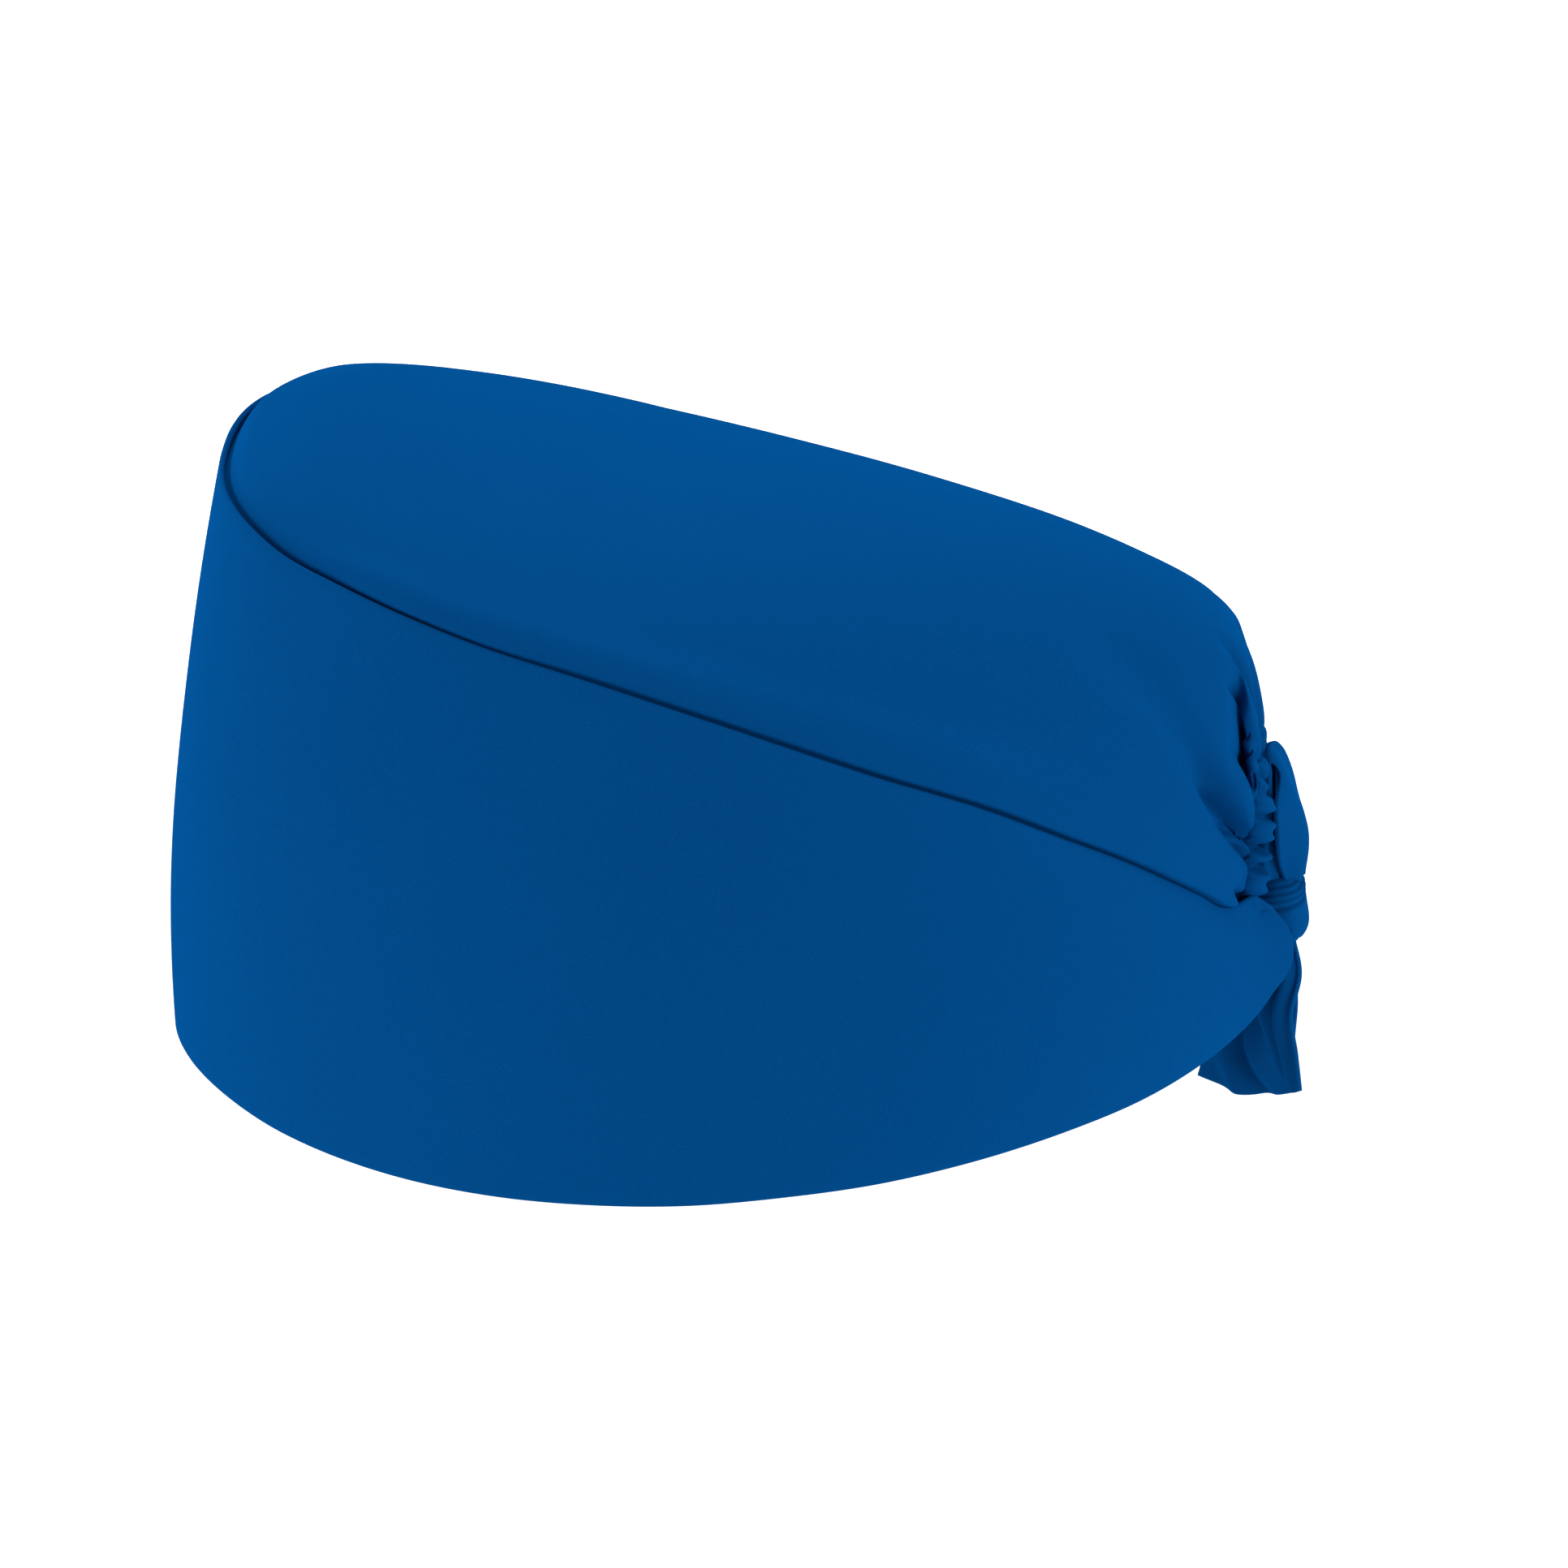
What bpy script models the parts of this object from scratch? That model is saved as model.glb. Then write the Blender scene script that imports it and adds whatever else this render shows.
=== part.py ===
"""Scrub cap with a tied back, as worn: a deep band, a soft crown gathered
into a casing at the back, and the band's ends tied in a slipped bow.

Metres, +Z up. The front of the cap faces -Y and the bow is at +Y. The
origin is the middle of the head opening.
"""
import math
from collections import namedtuple

import bpy
import bmesh
from mathutils import Vector

# Head opening and band
OPENING_LENGTH = 0.2108
OPENING_WIDTH = 0.1580
BAND_HEIGHT = 0.1180
FRONT_LEAN = 0.0125
SIDE_LEAN = 0.0080
BACK_LEAN = 0.0060
TIE_REACH = 0.0022
BAND_WALL = 0.0016
BAND_BULGE = 0.0026

# Crown
CROWN_WALL = 0.0012
CROWN_RISE = 0.0245
CROWN_TUCK = 0.0030
FOLD_DEPTH = 0.0050
RIPPLE_DEPTH = 0.0007

# Gathered casing round the back opening
CASING_WIDTH = 0.0052
CASING_THICKNESS = 0.0026
CASING_HEIGHT = 0.0280
CASING_ANGLE = math.radians(170.0)
CASING_RUFFLES = 11

# Bow
KNOT_WIDTH = 0.0170
KNOT_DEPTH = 0.0100
KNOT_HEIGHT = 0.0145
LOOP_HEIGHT = 0.0250
LOOP_WIDTH = 0.0200
TAIL_LENGTH = 0.0285
TAIL_WIDTH = 0.0180
TIE_WALL = 0.0012

CLEARANCE = 0.0003

CLOTH_COLOUR = (0.003, 0.075, 0.235, 1.0)

# Height of the band's two edges, as shares of BAND_HEIGHT. The station
# runs from the forehead (0) to the knot (1) along each edge.
Edge = namedtuple("Edge", "station height")
RIM = [
    Edge(0.00, -0.020), Edge(0.05, -0.027), Edge(0.12, -0.040),
    Edge(0.22, -0.047), Edge(0.31, -0.045), Edge(0.39, -0.038),
    Edge(0.48, -0.027), Edge(0.56, -0.013), Edge(0.64, 0.001),
    Edge(0.72, 0.020), Edge(0.81, 0.044), Edge(0.87, 0.060),
    Edge(0.92, 0.080), Edge(0.96, 0.106), Edge(0.98, 0.120),
    Edge(1.00, 0.124),
]
TOP = [
    Edge(0.00, 0.945), Edge(0.04, 0.931), Edge(0.08, 0.914),
    Edge(0.13, 0.899), Edge(0.20, 0.870), Edge(0.27, 0.838),
    Edge(0.36, 0.799), Edge(0.45, 0.752), Edge(0.54, 0.700),
    Edge(0.63, 0.642), Edge(0.73, 0.574), Edge(0.82, 0.490),
    Edge(0.87, 0.435), Edge(0.91, 0.382), Edge(0.94, 0.340),
    Edge(0.96, 0.305), Edge(0.98, 0.282), Edge(1.00, 0.265),
]

# Side outline of the crown over its middle: the station runs along the
# crown from the forehead (0) to the casing (1). back is a share of the
# crown's length, rise a share of CROWN_RISE above the straight line from
# the forehead edge to the casing's top.
Profile = namedtuple("Profile", "station back rise")
CROWN_PROFILE = [
    Profile(0.00, 0.000, 0.00), Profile(0.03, 0.004, 0.17),
    Profile(0.08, 0.024, 0.37), Profile(0.14, 0.072, 0.56),
    Profile(0.24, 0.176, 0.66), Profile(0.36, 0.331, 0.79),
    Profile(0.50, 0.516, 0.96), Profile(0.64, 0.702, 1.10),
    Profile(0.72, 0.810, 1.13), Profile(0.80, 0.900, 1.08),
    Profile(0.86, 0.950, 0.99), Profile(0.90, 0.976, 0.84),
    Profile(0.93, 0.991, 0.62), Profile(0.96, 1.001, 0.32),
    Profile(0.985, 1.004, 0.12), Profile(1.00, 1.000, 0.00),
]

# Creases in the crown that run into the casing. angle is measured over
# the crown, 0 on the middle and 90 at the wearer's left seam; width is in
# the same degrees, depth a share of FOLD_DEPTH.
Fold = namedtuple("Fold", "angle start depth width drift")
FOLDS = [
    Fold(30, 0.80, 1.00, 8, 4), Fold(12, 0.86, 0.30, 6, 3),
    Fold(-6, 0.84, 0.45, 7, -4), Fold(-26, 0.78, 0.60, 8, -6),
    Fold(-48, 0.74, 0.40, 9, -6), Fold(-68, 0.80, 0.35, 8, -3),
    Fold(52, 0.74, 0.30, 9, 6), Fold(71, 0.86, 0.40, 7, 4),
]

# The bow, seen from the side. Each row is a place along the loop or down
# a tail. back, up, down and curl are shares of the loop's height or the
# tail's length. side and half (half the cloth's width there) are shares of
# its width, and wave is the share of it by which the cloth curls. turn is
# the direction of that width in degrees from straight back.
Bend = namedtuple("Bend", "station back up half curl")
LOOP = [
    Bend(0.00, 0.00, 0.00, 0.30, 0.00), Bend(0.12, 0.00, 0.22, 0.36, 0.00),
    Bend(0.30, 0.00, 0.62, 0.38, -0.02), Bend(0.43, 0.00, 0.93, 0.26, -0.01),
    Bend(0.50, 0.04, 1.00, 0.23, 0.00), Bend(0.57, 0.10, 0.93, 0.27, 0.03),
    Bend(0.70, 0.20, 0.66, 0.48, 0.13), Bend(0.84, 0.27, 0.30, 0.46, 0.13),
    Bend(1.00, 0.23, 0.00, 0.32, 0.06),
]
Drop = namedtuple("Drop", "station down back side half turn wave")
LEFT_TAIL = [
    Drop(0.00, 0.00, 0.00, 0.12, 0.18, 40, 0.03),
    Drop(0.20, 0.19, 0.01, 0.20, 0.24, 54, 0.06),
    Drop(0.50, 0.47, -0.02, 0.28, 0.29, 60, 0.07),
    Drop(0.75, 0.70, 0.00, 0.29, 0.32, 62, 0.07),
    Drop(1.00, 0.94, 0.02, 0.29, 0.32, 64, 0.06),
]
RIGHT_TAIL = [
    Drop(0.00, 0.00, -0.03, -0.16, 0.18, 6, 0.02),
    Drop(0.20, 0.20, -0.02, -0.18, 0.20, 4, 0.05),
    Drop(0.50, 0.53, -0.07, -0.20, 0.30, 0, 0.07),
    Drop(0.75, 0.81, -0.15, -0.20, 0.42, -4, 0.09),
    Drop(1.00, 1.08, -0.18, -0.20, 0.51, -6, 0.10),
]


def smooth(low, high, value):
    """0 below low, 1 above high, eased between."""
    s = min(max((value - low) / (high - low), 0.0), 1.0)
    return s * s * (3 - 2 * s)


def along(rows, column, station):
    """Smooth value of a table's column at a station."""
    xs = [row.station for row in rows]
    ys = [getattr(row, column) for row in rows]
    station = min(max(station, xs[0]), xs[-1])
    i = max(k for k in range(len(xs) - 1) if xs[k] <= station)
    span = xs[i + 1] - xs[i]

    def slope(k):
        a, b = max(k - 1, 0), min(k + 1, len(xs) - 1)
        return (ys[b] - ys[a]) / (xs[b] - xs[a])

    s = (station - xs[i]) / span
    start, end = slope(i) * span, slope(i + 1) * span
    return (ys[i] * (1 + 2 * s) * (1 - s) ** 2 + start * s * (1 - s) ** 2
            + ys[i + 1] * s * s * (3 - 2 * s) + end * s * s * (s - 1))


def oval(angle, front, back, half_width, front_power, back_power):
    """Plan of an edge: 0 at the forehead, pi at the back."""
    c, s = math.cos(angle), math.sin(angle)
    power = front_power if c > 0 else back_power
    reach = front if c > 0 else back
    x = math.copysign(half_width * abs(s) ** (2 / power), s)
    y = -math.copysign(reach * abs(c) ** (2 / power), c)
    return x, y


def edge_point(angle, rows, front, back, half_width, powers):
    x, y = oval(angle, front, back, half_width, *powers)
    station = (y + front) / (front + back)
    return Vector((x, y, along(rows, "height", station) * BAND_HEIGHT))


def rim_point(angle):
    half = OPENING_LENGTH / 2
    return edge_point(angle, RIM, half, half, OPENING_WIDTH / 2, (1.88, 2.0))


def top_point(angle):
    half = OPENING_LENGTH / 2
    return edge_point(angle, TOP, half - FRONT_LEAN, half - BACK_LEAN,
                      OPENING_WIDTH / 2 - SIDE_LEAN, (2.5, 2.1))


def outward(angle):
    """Level direction away from the head at the band's top edge."""
    step = 1e-3
    run = top_point(angle + step) - top_point(angle - step)
    return Vector((-run.y, run.x, 0)).normalized() * -1


def tie_end_angle():
    """Where the band's end meets the knot's side."""
    half = KNOT_WIDTH / 2 + 2 * CLEARANCE
    return math.pi - math.asin(half / (OPENING_WIDTH / 2))


def band_point(angle, height):
    """Outer face of the band. height: 0 at the rim, 1 at the top edge."""
    start = CASING_ANGLE + math.radians(0.5)
    trim = 1 - 0.62 * smooth(start, tie_end_angle() + 0.01, angle)
    height = height * trim
    point = rim_point(angle).lerp(top_point(angle), height)
    belly = BAND_BULGE * (1 - smooth(2.4, 3.0, angle))
    lower = 1 + 0.5 * (1 - height)
    point += outward(angle) * belly * 4 * height * (1 - height) * lower
    # The ends leave the head's curve towards the knot behind it.
    away = smooth(math.radians(164), math.radians(176), angle)
    return point + Vector((0, TIE_REACH * away, 0))


def seat_point(angle):
    """Crown's lower edge, tucked inside the band's top edge."""
    inset = BAND_WALL + CLEARANCE
    point = top_point(angle) - outward(angle) * inset
    return point - Vector((0, 0, CROWN_TUCK))


def casing_top():
    foot = seat_point(CASING_ANGLE)
    return Vector((0, foot.y + 0.1 * CASING_HEIGHT, foot.z + CASING_HEIGHT))


def crown_apex(station):
    """Middle of the crown, from the forehead to the casing."""
    nose, top = seat_point(0), casing_top()
    back = along(CROWN_PROFILE, "back", station) / CROWN_PROFILE[-1].back
    rise = along(CROWN_PROFILE, "rise", station) * CROWN_RISE
    point = nose.lerp(top, back)
    return point + Vector((0, 0, rise))


def crown_seat_angle(station):
    first = math.radians(28)
    return first + (CASING_ANGLE - first) * station ** 0.85


def crown_point(station, over):
    """Outer face of the crown. over: -90 to 90 degrees across it."""
    end = crown_seat_angle(station)
    foot = seat_point(end)
    apex = crown_apex(station)
    base = Vector((0, foot.y, foot.z))
    up = apex - base
    turn = math.radians(over)
    # Near the forehead the section lies along the band's top edge.
    lying = seat_point(end * over / 90)
    nose = seat_point(0)
    wide = lying.x / foot.x
    tall = (foot.y - lying.y) / (foot.y - nose.y)
    # Further back it is a soft arch.
    power = 0.95 - 0.1 * smooth(0.85, 1.0, station)
    arch_x = math.copysign(abs(math.sin(turn)) ** power, turn)
    arch_z = max(math.cos(turn), 0) ** power
    k = smooth(0.0, 0.30, station)
    wide = wide * (1 - k) + arch_x * k
    tall = tall * (1 - k) + arch_z * k
    point = base + up * tall + Vector((foot.x * wide, 0, 0))
    level = lying.z - base.z - (nose.z - base.z) * tall
    return point + Vector((0, 0, level * (1 - k)))


def fold_shift(station, over):
    """How far a crease pulls the crown's cloth in."""
    shift = 0
    for fold in FOLDS:
        reach = smooth(fold.start, 0.4 + 0.6 * fold.start, station)
        reach *= 1 - 0.7 * smooth(0.95, 1.0, station)
        middle = fold.angle + fold.drift * (1 - station) / (1 - fold.start)
        away = (over - middle) / fold.width
        shift -= fold.depth * FOLD_DEPTH * reach * math.exp(-away * away)
    ripple = math.cos(math.radians(over) * 2 * CASING_RUFFLES)
    return shift + RIPPLE_DEPTH * ripple * smooth(0.88, 1.0, station)


def crown_skin(station, over):
    """Outer face of the crown with its creases."""
    step_s, step_o = 2e-3, 0.5
    low, high = max(station - step_s, 0), min(station + step_s, 1)
    left, right = max(over - step_o, -90), min(over + step_o, 90)
    along_cap = crown_point(high, over) - crown_point(low, over)
    across = crown_point(station, right) - crown_point(station, left)
    normal = across.cross(along_cap).normalized()
    if normal.dot(crown_point(station, over) - Vector((0, 0, 0.03))) < 0:
        normal.negate()
    return crown_point(station, over) + normal * fold_shift(station, over)


def casing_frame(over):
    """Place, direction and outside of the crown's gathered edge."""
    edge = crown_skin(1, over)
    run = (edge - crown_skin(0.975, over)).normalized()
    step = 1.0
    across = crown_skin(1, min(over + step, 90))
    across = across - crown_skin(1, max(over - step, -90))
    outside = across.cross(run).normalized()
    if outside.dot(edge - Vector((0, 0, 0.03))) < 0:
        outside.negate()
    return edge, run, outside


def casing_point(place, around):
    """The ruffled casing: place 0 to 1 over the opening."""
    end = 87
    over = end * (2 * place - 1)
    edge, run, outside = casing_frame(over)
    ruffle = math.cos(math.radians(over) * 2 * CASING_RUFFLES)
    wide = CASING_WIDTH / 2 * (1 + 0.10 * ruffle)
    thick = CASING_THICKNESS / 2 * (1 + 0.18 * ruffle)
    middle = edge + run * (CLEARANCE + CASING_WIDTH / 2 * 1.10)
    middle += outside * (thick * 0.4 * ruffle - CROWN_WALL / 2)
    turn = 2 * math.pi * around
    lean = abs(math.sin(turn)) ** 0.8
    return (middle + run * wide * math.cos(turn)
            + outside * math.copysign(thick * lean, math.sin(turn)))


def knot_middle():
    back = OPENING_LENGTH / 2 - 0.17 * KNOT_DEPTH
    up = (RIM[-1].height + TOP[-1].height) / 2 * BAND_HEIGHT
    return Vector((0, back, up))


def knot_point(direction):
    """Wrapped knot from a unit direction, with pleats across its top."""
    x, y, z = direction
    power = 0.82
    size = Vector((KNOT_WIDTH, KNOT_DEPTH, KNOT_HEIGHT)) / 2
    swell = [math.copysign(abs(c) ** power, c) for c in (x, y, z)]
    pleat = 1 + 0.035 * math.cos(13 * z) * (1 - z * z)
    return knot_middle() + Vector(
        (swell[0] * size.x * pleat, swell[1] * size.y * pleat,
         swell[2] * size.z))


def loop_point(across, place):
    """The loop's cloth: place 0 to 1 from its front foot to its back."""
    foot = knot_middle() + Vector((0, 0, KNOT_HEIGHT / 2 + CLEARANCE))
    front = foot.y - 0.24 * KNOT_DEPTH
    back = along(LOOP, "back", place) * LOOP_HEIGHT
    up = along(LOOP, "up", place) * LOOP_HEIGHT
    half = along(LOOP, "half", place) * LOOP_WIDTH
    curl = along(LOOP, "curl", place) * LOOP_HEIGHT
    s = 2 * across - 1
    pleat = 0.04 * LOOP_WIDTH * math.cos(5 * math.pi * across)
    pleat *= 1 - smooth(0.05, 0.35, up / LOOP_HEIGHT)
    return Vector((s * half, front + back + pleat - curl * s * s,
                   foot.z + up))


def tail_point(rows, across, place):
    """A free end's cloth: place 0 at the knot, 1 at its hem."""
    top = knot_middle() - Vector((0, 0, KNOT_HEIGHT / 2 + 2 * CLEARANCE))
    back = along(rows, "back", place) * TAIL_LENGTH
    side = along(rows, "side", place) * TAIL_WIDTH
    half = along(rows, "half", place) * TAIL_WIDTH
    turn = math.radians(along(rows, "turn", place))
    wave = along(rows, "wave", place) * TAIL_WIDTH
    s = 2 * across - 1
    level = Vector((math.sin(turn), math.cos(turn), 0))
    facing = Vector((math.cos(turn), -math.sin(turn), 0))
    hem = 0.07 * TAIL_LENGTH * place * (1 - s * s)
    down = along(rows, "down", place) * TAIL_LENGTH + hem
    return (top + Vector((side, back, -down)) + level * half * s
            + facing * wave * math.sin(1.3 * math.pi * s + 0.6))


def cloth_material(name):
    material = bpy.data.materials.new(name)
    material.use_nodes = True
    shader = material.node_tree.nodes["Principled BSDF"]
    shader.inputs["Base Color"].default_value = CLOTH_COLOUR
    shader.inputs["Roughness"].default_value = 0.85
    shader.inputs["Metallic"].default_value = 0.0
    material.diffuse_color = CLOTH_COLOUR
    return material


def finish(name, mesh, collection):
    cap_object = bpy.data.objects.new(name, mesh)
    collection.objects.link(cap_object)
    mesh.materials.append(cloth_material(name + "_cloth"))
    mesh.shade_smooth()
    return cap_object


def sheet(name, columns, rows, place, wall, collection, inward=True):
    """Cloth: a flat grid moved to its shape, and thickened."""
    mesh = bpy.data.meshes.new(name)
    build = bmesh.new()
    bmesh.ops.create_grid(build, x_segments=columns, y_segments=rows, size=1)
    for vert in build.verts:
        vert.co = place((vert.co.x + 1) / 2, (vert.co.y + 1) / 2)
    bmesh.ops.recalc_face_normals(build, faces=build.faces)
    middle = sum((face.calc_center_median().dot(face.normal)
                  for face in build.faces), 0.0)
    if inward and middle < 0:
        bmesh.ops.reverse_faces(build, faces=build.faces)
    build.to_mesh(mesh)
    build.free()
    cloth = finish(name, mesh, collection)
    solidify = cloth.modifiers.new("wall", "SOLIDIFY")
    solidify.thickness = wall
    solidify.offset = -1 if inward else 0
    solidify.use_even_offset = True
    return cloth


def make_band(collection):
    """Half of the band, mirrored over the forehead."""
    last = tie_end_angle()

    def place(u, v):
        return band_point(last * u ** 0.9, v)

    band = sheet("band", 36, 6, place, BAND_WALL, collection)
    mirror = band.modifiers.new("other_side", "MIRROR")
    mirror.use_clip = True
    mirror.merge_threshold = 0.0001
    band.modifiers.move(1, 0)
    return band


def make_crown(collection):
    def place(u, v):
        return crown_skin(v, 180 * u - 90)

    return sheet("crown", 48, 26, place, CROWN_WALL, collection)


def make_casing(collection):
    """A flat tube rolled from a grid, with its ends closed."""
    mesh = bpy.data.meshes.new("gathered_casing")
    build = bmesh.new()
    bmesh.ops.create_grid(build, x_segments=CASING_RUFFLES * 5,
                          y_segments=8, size=1)
    for vert in build.verts:
        vert.co = casing_point((vert.co.x + 1) / 2, (vert.co.y + 1) / 2)
    bmesh.ops.remove_doubles(build, verts=build.verts, dist=1e-6)
    bmesh.ops.holes_fill(build, edges=build.edges)
    bmesh.ops.recalc_face_normals(build, faces=build.faces)
    build.to_mesh(mesh)
    build.free()
    return finish("gathered_casing", mesh, collection)


def make_knot(collection):
    mesh = bpy.data.meshes.new("knot")
    build = bmesh.new()
    bmesh.ops.create_uvsphere(build, u_segments=20, v_segments=14, radius=1)
    for vert in build.verts:
        vert.co = knot_point(vert.co)
    build.to_mesh(mesh)
    build.free()
    return finish("knot", mesh, collection)


def make_loop(collection):
    return sheet("tie_loop", 10, 20, loop_point, TIE_WALL, collection, False)


def make_tail(name, rows, collection):
    def place(u, v):
        return tail_point(rows, u, v)

    return sheet(name, 8, 10, place, TIE_WALL, collection, False)


def main():
    for thing in list(bpy.data.objects):
        bpy.data.objects.remove(thing)
    collection = bpy.data.collections.new("scrub_cap")
    bpy.context.scene.collection.children.link(collection)
    make_band(collection)
    make_crown(collection)
    make_casing(collection)
    make_knot(collection)
    make_loop(collection)
    make_tail("left_tail", LEFT_TAIL, collection)
    make_tail("right_tail", RIGHT_TAIL, collection)


if __name__ == "__main__":
    main()
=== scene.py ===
"""Scrub cap with a tied back: its cloth, its bow and the studio round it."""
import math
from collections import namedtuple
from functools import partial

import bpy
import numpy as np
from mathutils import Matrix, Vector


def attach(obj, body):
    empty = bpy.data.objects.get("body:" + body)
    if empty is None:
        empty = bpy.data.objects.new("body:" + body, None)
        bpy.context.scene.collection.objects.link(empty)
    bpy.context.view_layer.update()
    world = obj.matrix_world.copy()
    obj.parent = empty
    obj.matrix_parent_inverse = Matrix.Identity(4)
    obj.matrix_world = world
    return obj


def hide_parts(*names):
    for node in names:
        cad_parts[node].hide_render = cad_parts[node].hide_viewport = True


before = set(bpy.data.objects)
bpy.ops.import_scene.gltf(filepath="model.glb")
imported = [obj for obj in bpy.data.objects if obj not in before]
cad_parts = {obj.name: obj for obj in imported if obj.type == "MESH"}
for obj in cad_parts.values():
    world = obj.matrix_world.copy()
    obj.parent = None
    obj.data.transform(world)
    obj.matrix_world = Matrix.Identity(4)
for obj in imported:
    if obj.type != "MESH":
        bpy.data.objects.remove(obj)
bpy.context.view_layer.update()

bl_info = {
    "name": "Scrub Cap",
    "version": (1, 0, 0),
    "blender": (4, 5, 0),
    "location": "View3D > Sidebar > Scrub Cap",
    "description": "Builds a tied-back scrub cap in woven cloth",
    "category": "Add Mesh",
}

# Height of the band's two edges, as shares of the band's height. The
# station runs from the forehead (0) to the knot (1) along each edge.
Edge = namedtuple("Edge", "station height")
RIM = [
    Edge(0.00, -0.020), Edge(0.05, -0.027), Edge(0.12, -0.040),
    Edge(0.22, -0.047), Edge(0.31, -0.045), Edge(0.39, -0.038),
    Edge(0.48, -0.027), Edge(0.56, -0.013), Edge(0.64, 0.001),
    Edge(0.72, 0.020), Edge(0.81, 0.044), Edge(0.87, 0.060),
    Edge(0.92, 0.079), Edge(0.96, 0.098), Edge(0.98, 0.110),
    Edge(1.00, 0.126),
]
TOP = [
    Edge(0.00, 0.945), Edge(0.04, 0.931), Edge(0.08, 0.914),
    Edge(0.13, 0.899), Edge(0.20, 0.870), Edge(0.27, 0.838),
    Edge(0.36, 0.799), Edge(0.45, 0.752), Edge(0.54, 0.700),
    Edge(0.63, 0.642), Edge(0.73, 0.574), Edge(0.82, 0.490),
    Edge(0.87, 0.435), Edge(0.91, 0.380), Edge(0.94, 0.332),
    Edge(0.96, 0.292), Edge(0.98, 0.266), Edge(1.00, 0.249),
]
# How square each edge is in plan, at the front and at the back. An
# ellipse has 2.
RIM_POWERS = (1.88, 2.0)
TOP_POWERS = (2.5, 2.1)

# The crown over its middle, from the forehead (0) to the casing (1).
Profile = namedtuple("Profile", "station back rise")
CROWN_PROFILE = [
    Profile(0.00, 0.000, 0.00), Profile(0.03, 0.004, 0.17),
    Profile(0.08, 0.024, 0.37), Profile(0.14, 0.072, 0.56),
    Profile(0.24, 0.176, 0.66), Profile(0.36, 0.331, 0.79),
    Profile(0.50, 0.516, 0.96), Profile(0.64, 0.702, 1.10),
    Profile(0.72, 0.810, 1.13), Profile(0.80, 0.900, 1.08),
    Profile(0.86, 0.950, 0.99), Profile(0.90, 0.976, 0.84),
    Profile(0.93, 0.991, 0.62), Profile(0.96, 1.001, 0.32),
    Profile(0.985, 1.004, 0.12), Profile(1.00, 1.000, 0.00),
]

# Creases in the crown. Each runs towards the casing: its station and its
# angle over the crown in degrees, its width and its depth in metres.
Crease = namedtuple("Crease", "station over width depth")
DEEP_FOLD = [
    Crease(0.896, 23, 0.0014, 0.0000), Crease(0.904, 30, 0.0024, 0.0036),
    Crease(0.913, 38, 0.0034, 0.0090), Crease(0.926, 45, 0.0042, 0.0130),
    Crease(0.938, 48, 0.0037, 0.0120), Crease(0.952, 49, 0.0018, 0.0060),
    Crease(0.970, 49, 0.0008, 0.0010),
]
DEEP_CREST = [
    Crease(0.890, 33, 0.0030, 0.0000), Crease(0.905, 46, 0.0034, -0.0006),
    Crease(0.922, 55, 0.0032, -0.0012), Crease(0.950, 58, 0.0024, -0.0008),
    Crease(0.980, 58, 0.0016, 0.0000),
]
LONG_VALLEY = [
    Crease(0.720, 32, 0.0070, 0.0000), Crease(0.806, 46, 0.0046, 0.0020),
    Crease(0.862, 59, 0.0036, 0.0032), Crease(0.918, 68, 0.0032, 0.0032),
    Crease(0.960, 70, 0.0026, 0.0014),
]
SIDE_FOLD = [
    Crease(0.850, 54, 0.0030, 0.0000), Crease(0.880, 60, 0.0024, 0.0014),
    Crease(0.915, 64, 0.0018, 0.0018), Crease(0.955, 66, 0.0012, 0.0014),
]
DENT = [
    Crease(0.872, 69.6, 0.0006, 0.0000), Crease(0.890, 69.5, 0.0009, 0.0026),
    Crease(0.910, 69.5, 0.0012, 0.0046), Crease(0.930, 69.0, 0.0012, 0.0048),
    Crease(0.950, 68.2, 0.0010, 0.0028), Crease(0.975, 67.5, 0.0008, 0.0006),
]
FAR_FOLD = [
    Crease(0.870, -14, 0.0024, 0.0000), Crease(0.900, -27, 0.0030, 0.0030),
    Crease(0.930, -40, 0.0032, 0.0048), Crease(0.970, -44, 0.0018, 0.0022),
]
FAR_VALLEY = [
    Crease(0.740, -38, 0.0090, 0.0000), Crease(0.830, -54, 0.0070, 0.0022),
    Crease(0.900, -66, 0.0044, 0.0026), Crease(0.960, -68, 0.0026, 0.0012),
]
MIDDLE_FOLD = [
    Crease(0.900, -4, 0.0024, 0.0000), Crease(0.935, -7, 0.0024, 0.0012),
    Crease(0.965, -8, 0.0018, 0.0016), Crease(0.990, -8, 0.0012, 0.0008),
]
# Creases press into the cloth, tucks fold it in towards the opening.
CREASES = (DEEP_CREST, LONG_VALLEY, SIDE_FOLD, FAR_VALLEY, MIDDLE_FOLD)
TUCKS = (DEEP_FOLD, DENT, FAR_FOLD)

# One gather, from its start in the crown (1) to the casing (0): its width
# in metres, and its depth as a share of the fold depth.
Gather = namedtuple("Gather", "share width depth")
GATHER = (
    Gather(1.00, 0.0013, 0.00), Gather(0.60, 0.0011, 0.40),
    Gather(0.25, 0.0010, 0.54), Gather(0.00, 0.0010, 0.50),
)

# The grooves between the knot's wraps, from its middle (0) to its top (1).
Wrap = namedtuple("Wrap", "level width depth")
KNOT_WRAPS = (
    Wrap(0.22, 0.060, 1.5), Wrap(0.42, 0.045, 0.8),
    Wrap(0.60, 0.045, 0.9), Wrap(0.78, 0.045, 0.6),
)

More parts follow.
